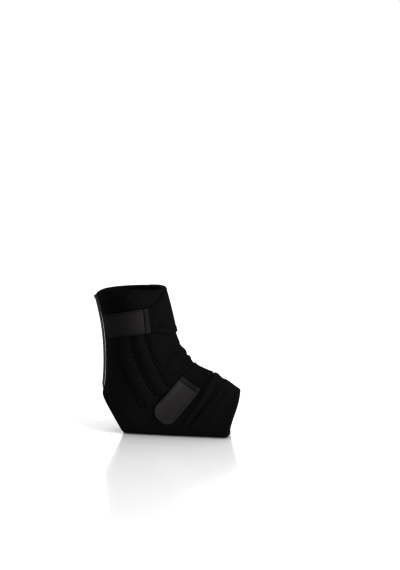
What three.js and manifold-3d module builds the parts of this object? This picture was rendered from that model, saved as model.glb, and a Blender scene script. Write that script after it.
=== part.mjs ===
// A pull-on ankle brace of foam cloth, shaped like a short boot and open at the leg, the toes and the heel.
// An elastic strap goes round the leg and another over the instep. Each is closed by a hook tab on the outer
// side, where a stitched panel with two padded channels holds the stays.
// Millimetres. +X points to the toes, -Y to the outer side, +Z up. The sole lies on Z = 0 and the ankle's axis
// is the Z axis.
import * as THREE from 'three';
import { mergeVertices } from 'three/addons/utils/BufferGeometryUtils.js';
import Module from 'manifold-3d';

// Overall sizes of the boot
const HEIGHT = 177;
const TOE_REACH = 122;
const HEEL_REACH = 52.8;
const WIDTH = 87;
const WALL = 3;

// The heel opening is cut by a slanted plane: its distance behind the ankle on the floor, and its slope
const HEEL_CUT_BACK = 18.5;
const HEEL_CUT_SLOPE = 60.4;

// Elastic straps and hook tabs
const STRAP_THICKNESS = 1.4;
const LEG_STRAP_WIDTH = 58.5;
const FOOT_STRAP_WIDTH = 26;
const TAB_THICKNESS = 1.6;
const LEG_TAB_WIDTH = 29.5;
const LEG_TAB_LENGTH = 63;
const FOOT_TAB_WIDTH = 30;
const FOOT_TAB_LENGTH = 59.5;
const TAB_CORNER = 9;
const SEAM_BAND_LENGTH = 5.6;
const SEAM_BAND_RISE = 0.6;

// Stay panel
const PANEL_THICKNESS = 1;
const CHANNEL_THICKNESS = 2.6;
const PANEL_HEM = 3.2;
const PANEL_TOP_STATION = 1.35;
const PANEL_END_STATION = 9.9;

// Raised seam up the back, bound in tape
const TAPE_WIDTH = 4.6;
const TAPE_THICKNESS = 2.3;
const TAPE_TO_TOP = 2.5;
const TAPE_TO_HEEL = 3;
const BACK_SEAM_ANGLE = 174;

// Folds of the boot
const FOLD_WIDTH = 11;
const FOLD_HEIGHT = 2.2;

// Clearances: between a piece and what it lies on, between a strap and its tab, from a line's first place to its
// strap, and the ramp beside the panel over which a tab settles back onto the boot
const PIECE_GAP = 0.45;
const SEAM_GAP = 0.35;
const STRAP_START = 1;
const RAMP_START = 1.6;
const RAMP_LENGTH = 11;

// Fineness of the surfaces, and how many stations the cutter of the hollow runs past each end
const ROWS_PER_STATION = 3;
const ROWS_PER_STATION_AT_FOLD = 5;
const FOLD_STATIONS = [13, 15];
const INNER_ROWS_PER_STATION = 2;
const PAST_END = 0.4;
const SIDES = 40;
const INNER_SIDES = 24;
const STRAP_STEP = 4.2;
const TAB_STEP = 3.4;
const WALK_STEP = 1.2;
const LOOK_AHEAD = 0.5;
const ROUTE_STEP = 0.05;
const PANEL_CHANNEL_SIDES = 5;

// Stations run from the leg opening down round the instep to the toe opening. Each is a slanted section of the
// boot, from a front point on the shin or instep to a back point on the calf, heel or sole.
// x columns are shares of TOE_REACH ahead of the ankle and of HEEL_REACH behind it, z columns are shares of
// HEIGHT, and crest, outer and inner are shares of WIDTH. widest says how far along the section it is widest,
// and the square columns bend the section from an ellipse (2) towards a box.
const STATION_COLUMNS = [
  'frontX', 'frontZ', 'backX', 'backZ', 'crest', 'outer', 'inner', 'widest', 'squareFront', 'squareBack',
];
const STATIONS = [
  [0.254, 1.000, -1.000, 0.975, 0.000, 0.448, 0.448, 0.50, 2.00, 2.00],
  [0.303, 0.876, -0.902, 0.853, 0.000, 0.421, 0.423, 0.50, 2.00, 2.00],
  [0.339, 0.774, -0.835, 0.746, 0.000, 0.398, 0.402, 0.50, 2.00, 1.90],
  [0.368, 0.689, -0.795, 0.638, 0.000, 0.391, 0.397, 0.50, 2.00, 1.85],
  [0.402, 0.628, -0.782, 0.537, 0.000, 0.398, 0.409, 0.49, 2.00, 1.80],
  [0.443, 0.581, -0.784, 0.441, 0.000, 0.414, 0.430, 0.48, 1.95, 1.80],
  [0.482, 0.539, -0.803, 0.345, 0.011, 0.425, 0.441, 0.46, 1.90, 1.85],
  [0.518, 0.506, -0.860, 0.249, 0.023, 0.421, 0.432, 0.43, 1.85, 1.95],
  [0.544, 0.481, -0.862, 0.158, 0.034, 0.409, 0.418, 0.39, 1.80, 2.10],
  [0.566, 0.462, -0.745, 0.068, 0.046, 0.402, 0.405, 0.34, 1.75, 2.30],
  [0.590, 0.450, -0.492, 0.006, 0.057, 0.402, 0.393, 0.29, 1.75, 2.60],
  [0.618, 0.440, -0.151, -0.008, 0.069, 0.398, 0.386, 0.25, 1.75, 2.90],
  [0.659, 0.426, 0.098, -0.008, 0.080, 0.409, 0.382, 0.24, 1.75, 3.10],
  [0.718, 0.408, 0.295, -0.008, 0.092, 0.430, 0.389, 0.24, 1.80, 3.20],
  [0.800, 0.390, 0.508, -0.008, 0.092, 0.460, 0.411, 0.25, 1.85, 3.20],
  [0.898, 0.349, 0.721, -0.008, 0.092, 0.483, 0.453, 0.27, 1.90, 3.20],
  [1.000, 0.294, 0.914, -0.008, 0.080, 0.500, 0.494, 0.30, 2.00, 3.20],
];
const LAST_STATION = STATIONS.length - 1;

// Folds and creases: three places on the boot that each runs through, its width as a share of FOLD_WIDTH and
// its rise as a share of FOLD_HEIGHT, where a negative rise is a crease.
const FOLD_COLUMNS = ['station1', 'angle1', 'station2', 'angle2', 'station3', 'angle3', 'width', 'rise'];
const FOLDS = [
  [13.55, -38, 13.62, 30, 13.45, 80, 1.0, 1.00],
  [14.40, -25, 14.32, 40, 13.80, 86, 0.9, -0.45],
  [4.42, -12, 4.95, 36, 6.40, 56, 1.0, -0.50],
  [5.40, -16, 5.60, 28, 7.20, 47, 1.0, 0.50],
  [6.60, -18, 6.55, 6, 7.10, 26, 0.9, 0.55],
];

// Centre lines of the bands, from the sewn end on the inner side over the front to the seam, where the tab
// begins. flare goes from the tab's width (0) to the strap's own width (1).
const PATH_COLUMNS = ['station', 'angle', 'flare'];
const LEG_STRAP_PATH = [
  [1.38, -74, 1.00],
  [1.36, -48, 1.00],
  [1.35, -24, 1.00],
  [1.37, 0, 0.97],
  [1.50, 19, 0.68],
  [1.58, 38, 0.40],
  [1.64, 51, 0.19],
  [1.70, 63.6, 0.00],
];
const LEG_TAB_PATH = [
  [1.76, 86, 0],
  [1.88, 110, 0],
  [2.06, 143, 0],
  [2.20, 170, 0],
];
const FOOT_STRAP_PATH = [
  [12.00, -88, 1.00],
  [11.90, -68, 1.00],
  [11.75, -46, 1.00],
  [11.60, -22, 1.00],
  [11.40, 2, 1.00],
  [11.55, 20, 0.70],
  [11.70, 36.8, 0.00],
];
const FOOT_TAB_PATH = [
  [11.84, 51.8, 0],
  [11.96, 65, 0],
  [12.04, 77, 0],
  [12.10, 88.5, 0],
  [12.15, 102, 0],
];

// Angles of the panel's three stitch rows, from the back to the front, at stations down the outer side
const PANEL_COLUMNS = ['station', 'back', 'middle', 'front'];
const PANEL_ROWS = [
  [1, 124, 96, 73],
  [2, 124.5, 96, 72.5],
  [3, 125, 95.8, 72],
  [4, 124.2, 93.4, 69.2],
  [5, 118, 89.6, 67.4],
  [6, 108.5, 84, 63.6],
  [7, 96.5, 77.8, 60.2],
  [8, 87, 72.4, 56.4],
  [9, 82.6, 67.6, 52],
  [10, 81.4, 65.6, 48],
];

const radians = THREE.MathUtils.degToRad;
const lerp = THREE.MathUtils.lerp;

const heelCut = new THREE.Plane().setFromNormalAndCoplanarPoint(
  new THREE.Vector3(-Math.sin(radians(HEEL_CUT_SLOPE)), 0, -Math.cos(radians(HEEL_CUT_SLOPE))),
  new THREE.Vector3(-HEEL_CUT_BACK, 0, 0),
);

function named(columns, rows) {
  return rows.map((row) => Object.fromEntries(columns.map((name, i) => [name, row[i]])));
}

// Value of a row of numbers at a place between rows: smooth through the rows, straight on past the ends
function between(rows, place) {
  const last = rows.length - 1;
  const i = Math.min(Math.max(Math.floor(place), 0), last - 1);
  const f = place - i;
  return rows[i].map((here, column) => {
    const next = rows[i + 1][column];
    const before = i > 0 ? rows[i - 1][column] : 2 * here - next;
    const after = i < last - 1 ? rows[i + 2][column] : 2 * next - here;
    const slope = next - before;
    const curve = 2 * before - 5 * here + 4 * next - after;
    const twist = 3 * here - before - 3 * next + after;
    return 0.5 * (2 * here + slope * f + curve * f * f + twist * f * f * f);
  });
}

// Point of the smooth boot at a station and an angle: 0 on the shin or instep, 90 on the outer side, 180 on
// the calf, heel or sole
function form(station, angle) {
  const [row] = named(STATION_COLUMNS, [between(STATIONS, station)]);
  const reach = (share) => share * (share > 0 ? TOE_REACH : HEEL_REACH);
  const cos = Math.cos(radians(angle));
  const sin = Math.sin(radians(angle));
  const power = cos > 0 ? row.squareFront : row.squareBack;
  const radius = (Math.abs(cos) ** power + Math.abs(sin) ** power) ** (-1 / power);
  const forward = cos * radius;
  const along = row.widest + forward * (forward > 0 ? 1 - row.widest : row.widest);
  const side = -sin * radius * (sin > 0 ? row.outer : row.inner);
  const crest = row.crest * Math.max(forward, 0) ** 2;
  const x = lerp(reach(row.backX), reach(row.frontX), along);
  const z = HEIGHT * lerp(row.backZ, row.frontZ, along);
  return new THREE.Vector3(x, WIDTH * (side + crest), Math.max(z, 0));
}

const folds = named(FOLD_COLUMNS, FOLDS).map((fold) => {
  const places = [
    [fold.station1, fold.angle1],
    [fold.station2, fold.angle2],
    [fold.station3, fold.angle3],
  ];
  const points = [];
  for (let t = 0; t <= 2; t += 0.2) {
    points.push(form(...between(places, t)));
  }
  return { points, reach: (fold.width * FOLD_WIDTH) / 2, rise: fold.rise * FOLD_HEIGHT };
});

// How far the folds push the cloth out at a point of the smooth boot
function foldRise(point) {
  const nearest = new THREE.Vector3();
  const line = new THREE.Line3();
  return folds.reduce((sum, fold) => {
    let distance = Infinity;
    for (let i = 1; i < fold.points.length; i += 1) {
      line.set(fold.points[i - 1], fold.points[i]);
      line.closestPointToPoint(point, true, nearest);
      distance = Math.min(distance, nearest.distanceTo(point));
    }
    const share = Math.min(distance / fold.reach, 1);
    return sum + fold.rise * (1 - share * share) ** 2;
  }, 0);
}

// Directions of a surface at a place, per station and per degree, and its outward normal
function slopes(surface, station, angle) {
  const d = 0.01;
  const down = surface(station + d, angle).sub(surface(station - d, angle)).divideScalar(2 * d);
  const round = surface(station, angle + d).sub(surface(station, angle - d)).divideScalar(2 * d);
  const normal = new THREE.Vector3().crossVectors(round, down).normalize();
  return { down, round, normal };
}

// The boot's outer face with its folds
function skin(station, angle) {
  const point = form(station, angle);
  const rise = foldRise(point);
  return rise === 0 ? point : point.addScaledVector(slopes(form, station, angle).normal, rise);
}

// A point a height above the outer face, or below it where the height is negative
function above(station, angle, height) {
  return skin(station, angle).addScaledVector(slopes(skin, station, angle).normal, height);
}

// Place reached by walking a distance over the boot in a direction
function walk(start, direction, distance) {
  const steps = Math.max(1, Math.ceil(distance / WALK_STEP));
  const place = { station: start.station, angle: start.angle };
  for (let i = 0; i < steps; i += 1) {
    const { down, round, normal } = slopes(form, place.station, place.angle);
    const step = direction.clone().projectOnPlane(normal).setLength(distance / steps);
    const dd = down.dot(down);
    const dr = down.dot(round);
    const rr = round.dot(round);
    const area = dd * rr - dr * dr;
    place.station += (step.dot(down) * rr - step.dot(round) * dr) / area;
    place.angle += (step.dot(round) * dd - step.dot(down) * dr) / area;
  }
  return place;
}

// Closed mesh from a list of points and triangles, turned inside out if its faces point in
function closed(points, triangles) {
  const [a, b, c] = [0, 1, 2].map(() => new THREE.Vector3());
  const volume = triangles.reduce((sum, triangle) => {
    [a, b, c].forEach((corner, i) => corner.copy(points[triangle[i]]));
    return sum + a.dot(b.cross(c));
  }, 0);
  const order = volume > 0 ? triangles : triangles.map(([i, j, k]) => [i, k, j]);
  const geometry = new THREE.BufferGeometry().setFromPoints(points);
  geometry.setIndex(order.flat());
  geometry.computeVertexNormals();
  return geometry;
}

// Tube through rings of points, closed at both ends
function tube(rings) {
  const sides = rings[0].length;
  const points = rings.flat();
  const triangles = [];
  for (let i = 1; i < rings.length; i += 1) {
    for (let j = 0; j < sides; j += 1) {
      const [low, high] = [(i - 1) * sides, i * sides];
      const next = (j + 1) % sides;
      triangles.push([low + j, low + next, high + j], [low + next, high + next, high + j]);
    }
  }
  [rings[0], rings[rings.length - 1]].forEach((ring, end) => {
    const centre = points.length;
    const start = end * (rings.length - 1) * sides;
    const middle = new THREE.Vector3();
    ring.forEach((point) => middle.addScaledVector(point, 1 / sides));
    points.push(middle);
    for (let j = 0; j < sides; j += 1) {
      const next = (j + 1) % sides;
      triangles.push(end ? [start + j, start + next, centre] : [start + next, start + j, centre]);
    }
  });
  return closed(points, triangles);
}

// Slab between a lower and an upper grid of points
function slab(lower, upper) {
  const rows = lower.length;
  const columns = lower[0].length;
  const points = [...lower.flat(), ...upper.flat()];
  const under = (i, j) => i * columns + j;
  const over = (i, j) => rows * columns + under(i, j);
  const triangles = [];
  const quad = (a, b, c, d) => triangles.push([a, b, c], [a, c, d]);
  for (let i = 1; i < rows; i += 1) {
    for (let j = 1; j < columns; j += 1) {
      quad(over(i - 1, j - 1), over(i, j - 1), over(i, j), over(i - 1, j));
      quad(under(i - 1, j - 1), under(i - 1, j), under(i, j), under(i, j - 1));
    }
    quad(under(i - 1, 0), under(i, 0), over(i, 0), over(i - 1, 0));
    quad(under(i, columns - 1), under(i - 1, columns - 1), over(i - 1, columns - 1), over(i, columns - 1));
  }
  for (let j = 1; j < columns; j += 1) {
    quad(under(0, j), under(0, j - 1), over(0, j - 1), over(0, j));
    quad(under(rows - 1, j - 1), under(rows - 1, j), over(rows - 1, j), over(rows - 1, j - 1));
  }
  return closed(points, triangles);
}

const wasm = await Module();
wasm.setup();

function solid(geometry) {
  const vertProperties = new Float32Array(geometry.getAttribute('position').array);
  const triVerts = new Uint32Array(geometry.getIndex().array);
  return new wasm.Manifold(new wasm.Mesh({ numProp: 3, vertProperties, triVerts }));
}

function meshOf(body) {
  const { vertProperties, triVerts, numProp } = body.getMesh();
  const geometry = new THREE.BufferGeometry();
  const positions = new Float32Array((vertProperties.length / numProp) * 3);
  for (let i = 0; i < positions.length / 3; i += 1) {
    positions.set(vertProperties.subarray(i * numProp, i * numProp + 3), i * 3);
  }
  geometry.setAttribute('position', new THREE.BufferAttribute(positions, 3));
  geometry.setIndex([...triVerts]);
  geometry.computeVertexNormals();
  return geometry;
}

// Rings of the boot between two stations, at a height above its outer face
function bootRings(stations, sides, height) {
  return stations.map((station) => {
    const angles = Array.from({ length: sides }, (_, i) => (i * 360) / sides);
    return angles.map((angle) => above(station, angle, height));
  });
}

function sleeveGeometry() {
  const stations = [];
  const innerStations = [-PAST_END];
  for (let station = 0; station < LAST_STATION; station += 1) {
    const atFold = station >= FOLD_STATIONS[0] && station < FOLD_STATIONS[1];
    const rows = atFold ? ROWS_PER_STATION_AT_FOLD : ROWS_PER_STATION;
    for (let i = 0; i < rows; i += 1) {
      stations.push(station + i / rows);
    }
    for (let i = 0; i < INNER_ROWS_PER_STATION; i += 1) {
      innerStations.push(station + i / INNER_ROWS_PER_STATION);
    }
  }
  stations.push(LAST_STATION);
  innerStations.push(LAST_STATION, LAST_STATION + PAST_END);
  const outer = solid(tube(bootRings(stations, SIDES, 0)));
  const inner = solid(tube(bootRings(innerStations, INNER_SIDES, -WALL)));
  return meshOf(outer.subtract(inner).subtract(solid(heelBlock())));
}

// Block behind the heel opening's plane
function heelBlock() {
  const size = 3 * HEIGHT;
  const box = new THREE.BoxGeometry(size, size, size);
  box.deleteAttribute('normal');
  box.deleteAttribute('uv');
  box.rotateY(radians(HEEL_CUT_SLOPE - 90));
  box.translate((heelCut.normal.x * size) / 2 - HEEL_CUT_BACK, 0, (heelCut.normal.z * size) / 2);
  return mergeVertices(box);
}

// Thickness of the stay panel, where across runs from its back row (0) over the middle row (1) to the front (2)
function panelThickness(across) {
  const inside = across > 0 && across < 2;
  const bulge = inside ? Math.sin(Math.PI * (across % 1)) ** 0.8 : 0;
  return lerp(PANEL_THICKNESS, CHANNEL_THICKNESS, bulge);
}

function panelRow(station) {
  return named(PANEL_COLUMNS, [between(PANEL_ROWS, station - PANEL_ROWS[0][0])])[0];
}

function panelAngle(row, across) {
  return across < 1 ? lerp(row.back, row.middle, across) : lerp(row.middle, row.front, across - 1);
}

function panelAcross(row, angle) {
  if (angle > row.middle) {
    return Math.max((row.back - angle) / (row.back - row.middle), 0);
  }
  return Math.min(1 + (row.middle - angle) / (row.middle - row.front), 2);
}

// Height that the stay panel takes up under a band at a place, easing off beside the panel
function panelCover({ station, angle }) {
  const row = panelRow(Math.min(Math.max(station, PANEL_TOP_STATION), PANEL_END_STATION));
  const { down, round } = slopes(form, station, angle);
  const hem = PANEL_HEM / round.length();
  const beside = Math.max(angle - row.back - hem, row.front - hem - angle, 0) * round.length();
  const past = Math.max(PANEL_TOP_STATION - station, station - PANEL_END_STATION, 0) * down.length();
  const ease = THREE.MathUtils.smoothstep(Math.hypot(beside, past), RAMP_START, RAMP_START + RAMP_LENGTH);
  return (PIECE_GAP + panelThickness(panelAcross(row, angle))) * (1 - ease);
}

function panelGeometry() {
  const columns = [{ across: 0, hem: PANEL_HEM }];
  for (let i = 0; i <= 2 * PANEL_CHANNEL_SIDES; i += 1) {
    columns.push({ across: i / PANEL_CHANNEL_SIDES, hem: 0 });
  }
  columns.push({ across: 2, hem: -PANEL_HEM });
  const count = Math.round((PANEL_END_STATION - PANEL_TOP_STATION) * ROWS_PER_STATION);
  const grid = (heightAt) => Array.from({ length: count + 1 }, (_, i) => {
    const station = lerp(PANEL_TOP_STATION, PANEL_END_STATION, i / count);
    const row = panelRow(station);
    return columns.map(({ across, hem }) => {
      const angle = panelAngle(row, across);
      const scale = slopes(form, station, angle).round.length();
      return above(station, angle + hem / scale, heightAt(across));
    });
  });
  return slab(grid(() => PIECE_GAP), grid((across) => PIECE_GAP + panelThickness(across)));
}

// A band's centre line, measured in millimetres along it
function route(rows) {
  const samples = [{ place: 0, distance: 0 }];
  let point = form(rows[0][0], rows[0][1]);
  for (let place = ROUTE_STEP; place < rows.length - 1 + ROUTE_STEP / 2; place += ROUTE_STEP) {
    const next = form(...between(rows, place));
    samples.push({ place, distance: samples[samples.length - 1].distance + next.distanceTo(point) });
    point = next;
  }
  const distanceAt = (place) => samples[Math.round(place / ROUTE_STEP)].distance;
  const at = (distance) => {
    const found = samples.findIndex((sample) => sample.distance >= distance);
    const i = found < 0 ? samples.length - 1 : Math.max(found, 1);
    const [low, high] = [samples[i - 1], samples[i]];
    const share = (distance - low.distance) / (high.distance - low.distance);
    return named(PATH_COLUMNS, [between(rows, lerp(low.place, high.place, share))])[0];
  };
  return { at, distanceAt };
}

// Band that lies on the boot along a route: its width and thickness are functions of the distance along it
function band(line, distances, widthAt, thicknessAt, step) {
  const widest = Math.max(...distances.map(widthAt));
  const columns = Math.ceil(widest / step);
  const places = distances.map((distance) => {
    const centre = line.at(distance);
    const [before, after] = [line.at(distance - LOOK_AHEAD), line.at(distance + LOOK_AHEAD)];
    const along = form(after.station, after.angle).sub(form(before.station, before.angle));
    const side = slopes(form, centre.station, centre.angle).normal.cross(along);
    return Array.from({ length: columns + 1 }, (_, j) => {
      const offset = (j / columns - 0.5) * widthAt(distance);
      return walk(centre, offset < 0 ? side.clone().negate() : side, Math.abs(offset) + 1e-6);
    });
  });
  const lower = places.map((row) => row.map((place) => bandPoint(place, 0)));
  const upper = places.map((row, i) => row.map((place) => bandPoint(place, thicknessAt(distances[i]))));
  return slab(lower, upper);
}

function bandPoint(place, height) {
  return above(place.station, place.angle, PIECE_GAP + panelCover(place) + height);
}

function evenly(from, to, step) {
  const count = Math.ceil((to - from) / step);
  return Array.from({ length: count + 1 }, (_, i) => lerp(from, to, i / count));
}

function strapGeometry(line, seam, tabWidth, strapWidth) {
  const distances = evenly(STRAP_START, seam - SEAM_GAP / 2, STRAP_STEP);
  const widthAt = (distance) => lerp(tabWidth, strapWidth, line.at(distance).flare);
  return band(line, distances, widthAt, () => STRAP_THICKNESS, STRAP_STEP);
}

function tabGeometry(line, seam, width, length) {
  const start = seam + SEAM_GAP / 2;
  const end = seam + length;
  const bandEnd = start + SEAM_BAND_LENGTH;
  const cornerSteps = [1, 2, 3, 4].map((i) => end - TAB_CORNER * (1 - Math.sin((i * Math.PI) / 8)));
  const body = evenly(bandEnd + SEAM_GAP, end - TAB_CORNER, TAB_STEP);
  const distances = [...evenly(start, bandEnd, TAB_STEP), ...body, ...cornerSteps];
  const widthAt = (distance) => {
    const past = Math.max(distance - (end - TAB_CORNER), 0);
    return width - 2 * (TAB_CORNER - Math.sqrt(Math.max(TAB_CORNER ** 2 - past ** 2, 0)));
  };
  const thicknessAt = (distance) => TAB_THICKNESS + (distance <= bandEnd ? SEAM_BAND_RISE : 0);
  return band(line, distances, widthAt, thicknessAt, TAB_STEP);
}

function tapeGeometry() {
  let end = 0;
  while (heelCut.distanceToPoint(form(end, BACK_SEAM_ANGLE)) < -TAPE_TO_HEEL) {
    end += ROUTE_STEP;
  }
  const line = route(Array.from({ length: LAST_STATION }, (_, station) => [station, BACK_SEAM_ANGLE, 0]));
  const length = line.distanceAt(end);
  const widthAt = () => TAPE_WIDTH;
  return band(line, evenly(TAPE_TO_TOP, length, STRAP_STEP), widthAt, () => TAPE_THICKNESS, TAPE_WIDTH / 2);
}

// Materials
function cloth(color, roughness) {
  return new THREE.MeshStandardMaterial({ color, roughness, metalness: 0 });
}

const legLine = route([...LEG_STRAP_PATH, ...LEG_TAB_PATH]);
const footLine = route([...FOOT_STRAP_PATH, ...FOOT_TAB_PATH]);
const legSeam = legLine.distanceAt(LEG_STRAP_PATH.length - 1);
const footSeam = footLine.distanceAt(FOOT_STRAP_PATH.length - 1);

const pieces = {
  sleeve: [sleeveGeometry(), cloth(0x121012, 0.85)],
  back_seam_tape: [tapeGeometry(), cloth(0x5c5b59, 0.8)],
  stay_panel: [panelGeometry(), cloth(0x141213, 0.85)],
  leg_strap: [strapGeometry(legLine, legSeam, LEG_TAB_WIDTH, LEG_STRAP_WIDTH), cloth(0x131113, 0.7)],
  leg_tab: [tabGeometry(legLine, legSeam, LEG_TAB_WIDTH, LEG_TAB_LENGTH), cloth(0x1d1b1c, 0.75)],
  foot_strap: [strapGeometry(footLine, footSeam, FOOT_TAB_WIDTH, FOOT_STRAP_WIDTH), cloth(0x131113, 0.7)],
  foot_tab: [tabGeometry(footLine, footSeam, FOOT_TAB_WIDTH, FOOT_TAB_LENGTH), cloth(0x262425, 0.75)],
};

const brace = new THREE.Group();
Object.entries(pieces).forEach(([name, [geometry, material]]) => {
  const mesh = new THREE.Mesh(geometry, material);
  mesh.name = name;
  brace.add(mesh);
});

export default brace;
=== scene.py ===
# %% [markdown]
# # An ankle brace of foam cloth
# The brace is a short boot that is pulled on: 3 mm rubber foam with knit cloth on both faces, open at the
# leg, the toes and the heel. Two elastic straps close it with hook tabs on the outer side, and a stitched
# panel there holds two stays. The solids of the frame give every size and place. This lesson grows the same
# boot again as a fine mesh, lays the bands and the panel on it, sews them with real threads, and gives each
# its cloth. Everything is in metres, +X points to the toes, -Y to the outer side and +Z up.

# %% The frame and the sizes that it gives
import math

import bmesh
import bpy
import numpy as np
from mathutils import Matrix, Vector


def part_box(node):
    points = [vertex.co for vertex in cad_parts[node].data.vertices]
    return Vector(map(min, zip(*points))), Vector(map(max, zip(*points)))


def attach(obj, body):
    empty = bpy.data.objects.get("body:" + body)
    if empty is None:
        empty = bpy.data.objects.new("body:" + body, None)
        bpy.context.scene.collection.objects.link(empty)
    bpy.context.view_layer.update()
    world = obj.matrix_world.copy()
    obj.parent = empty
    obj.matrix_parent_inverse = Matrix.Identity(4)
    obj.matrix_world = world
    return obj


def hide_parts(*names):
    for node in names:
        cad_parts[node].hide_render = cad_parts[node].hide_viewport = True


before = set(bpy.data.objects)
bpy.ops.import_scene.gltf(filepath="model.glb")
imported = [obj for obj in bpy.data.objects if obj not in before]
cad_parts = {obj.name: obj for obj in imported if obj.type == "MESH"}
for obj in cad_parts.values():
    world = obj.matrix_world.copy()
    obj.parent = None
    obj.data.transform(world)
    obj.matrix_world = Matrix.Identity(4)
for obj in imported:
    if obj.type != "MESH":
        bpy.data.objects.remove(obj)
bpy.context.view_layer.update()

MM = 0.001
sleeve_low, sleeve_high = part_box("sleeve")
HEIGHT = sleeve_high.z
TOE_REACH = sleeve_high.x
HEEL_REACH = -sleeve_low.x
WIDTH = -2 * sleeve_low.y
WALL = 3 * MM
PIECE_GAP = 0.45 * MM
print(f"boot: {HEIGHT:.4f} m tall, {TOE_REACH + HEEL_REACH:.4f} m long, {WIDTH:.4f} m wide")

# %% [markdown]
# ## The camera
# The brace is seen from its outer side, a little from the toes and a little from above, through a long
# lens. A camera could be aimed by eye. Here it is worked out: one point of the brace is named with the
# pixel where it has to appear, and the lens follows from how many millimetres of it a pixel shows.

# %% Camera
FRAME_WIDTH, FRAME_HEIGHT = 400, 570
AZIMUTH, ELEVATION = math.radians(8.3), math.radians(9.0)
CAMERA_DISTANCE = 2.8
METRES_PER_PIXEL = 1.22 * MM
LOOK_POINT = Vector((0.030, 0.0, 0.085))
LOOK_PIXEL = (163.5, 362.4)
SENSOR = 36


def add_to_scene(name, data, place, aim):
    """A camera or lamp at a place, turned to look along a direction."""
    thing = bpy.data.objects.new(name, data)
    bpy.context.scene.collection.objects.link(thing)
    thing.location = place
    thing.rotation_euler = aim.to_track_quat("-Z", "Y").to_euler()
    return thing


def make_camera():
    right = Vector((math.cos(AZIMUTH), math.sin(AZIMUTH), 0))
    back = Vector((math.sin(AZIMUTH) * math.cos(ELEVATION), -math.cos(AZIMUTH) * math.cos(ELEVATION),
                   math.sin(ELEVATION)))
    up = back.cross(right)
    to_middle = right * (FRAME_WIDTH / 2 - LOOK_PIXEL[0]) + up * (LOOK_PIXEL[1] - FRAME_HEIGHT / 2)
    data = bpy.data.cameras.new("camera")
    data.sensor_width = SENSOR
    data.lens = SENSOR * CAMERA_DISTANCE / (METRES_PER_PIXEL * FRAME_HEIGHT)
    away = back * CAMERA_DISTANCE
    camera = add_to_scene("camera", data, LOOK_POINT + away, to_middle * METRES_PER_PIXEL - away)
    bpy.context.scene.camera = camera
    return camera


camera = make_camera()
print(f"lens {camera.data.lens:.1f} mm at {CAMERA_DISTANCE} m")

# %% [markdown]
# ## The boot as a surface
# A leg that bends into a foot has no simple outline, but every slice across it is close to an ellipse. It
# could be sculpted by eye. A table is easier to measure and to change: each row is a slanted slice with a
# front and a back point, its half widths, where it is widest and how square it is, in shares of the boot's
# named sizes. A smooth curve through the rows gives every slice between them. The solids come from such a
# table too, only a little squarer under the heel.

# %% Stations
# front x, front z, back x, back z, crest, outer, inner, widest, square front, square back
STATIONS = np.array([
    [0.254, 1.000, -1.000, 0.975, 0.000, 0.448, 0.448, 0.50, 2.00, 2.00],
    [0.303, 0.876, -0.902, 0.853, 0.000, 0.421, 0.423, 0.50, 2.00, 2.00],
    [0.339, 0.774, -0.835, 0.746, 0.000, 0.398, 0.402, 0.50, 2.00, 1.90],
    [0.368, 0.689, -0.795, 0.638, 0.000, 0.391, 0.397, 0.50, 2.00, 1.85],
    [0.402, 0.628, -0.782, 0.537, 0.000, 0.398, 0.409, 0.49, 2.00, 1.80],
    [0.443, 0.581, -0.784, 0.441, 0.000, 0.414, 0.430, 0.48, 1.95, 1.80],
    [0.482, 0.539, -0.803, 0.345, 0.011, 0.425, 0.441, 0.46, 1.90, 1.85],
    [0.518, 0.506, -0.860, 0.249, 0.023, 0.421, 0.432, 0.43, 1.85, 1.95],
    [0.544, 0.481, -0.862, 0.158, 0.034, 0.409, 0.418, 0.39, 1.80, 2.10],
    [0.566, 0.462, -0.745, 0.068, 0.046, 0.402, 0.405, 0.34, 1.75, 2.15],
    [0.590, 0.450, -0.492, 0.006, 0.057, 0.402, 0.393, 0.29, 1.75, 2.20],
    [0.618, 0.440, -0.151, -0.008, 0.069, 0.398, 0.386, 0.25, 1.75, 2.35],
    [0.659, 0.426, 0.098, -0.008, 0.080, 0.409, 0.382, 0.24, 1.75, 2.70],
    [0.718, 0.408, 0.295, -0.008, 0.092, 0.430, 0.389, 0.24, 1.80, 3.00],
    [0.800, 0.390, 0.508, -0.008, 0.092, 0.460, 0.411, 0.25, 1.85, 3.20],
    [0.898, 0.349, 0.721, -0.008, 0.092, 0.483, 0.453, 0.27, 1.90, 3.20],
    [1.000, 0.294, 0.914, -0.008, 0.080, 0.500, 0.494, 0.30, 2.00, 3.20],
])
LAST_STATION = len(STATIONS) - 1
TINY = 1e-12


def between(rows, place):
    """Value of a table's row at a place between rows: smooth through them, straight on past the ends."""
    last = len(rows) - 1
    i = np.clip(np.floor(place).astype(int), 0, last - 1)
    f = (place - i)[..., None]
    here, after = rows[i], rows[i + 1]
    before = np.where((i > 0)[..., None], rows[np.maximum(i - 1, 0)], 2 * here - after)
    beyond = np.where((i < last - 1)[..., None], rows[np.minimum(i + 2, last)], 2 * after - here)
    curve = 2 * before - 5 * here + 4 * after - beyond
    twist = 3 * here - before - 3 * after + beyond
    return 0.5 * (2 * here + (after - before) * f + curve * f**2 + twist * f**3)


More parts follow.
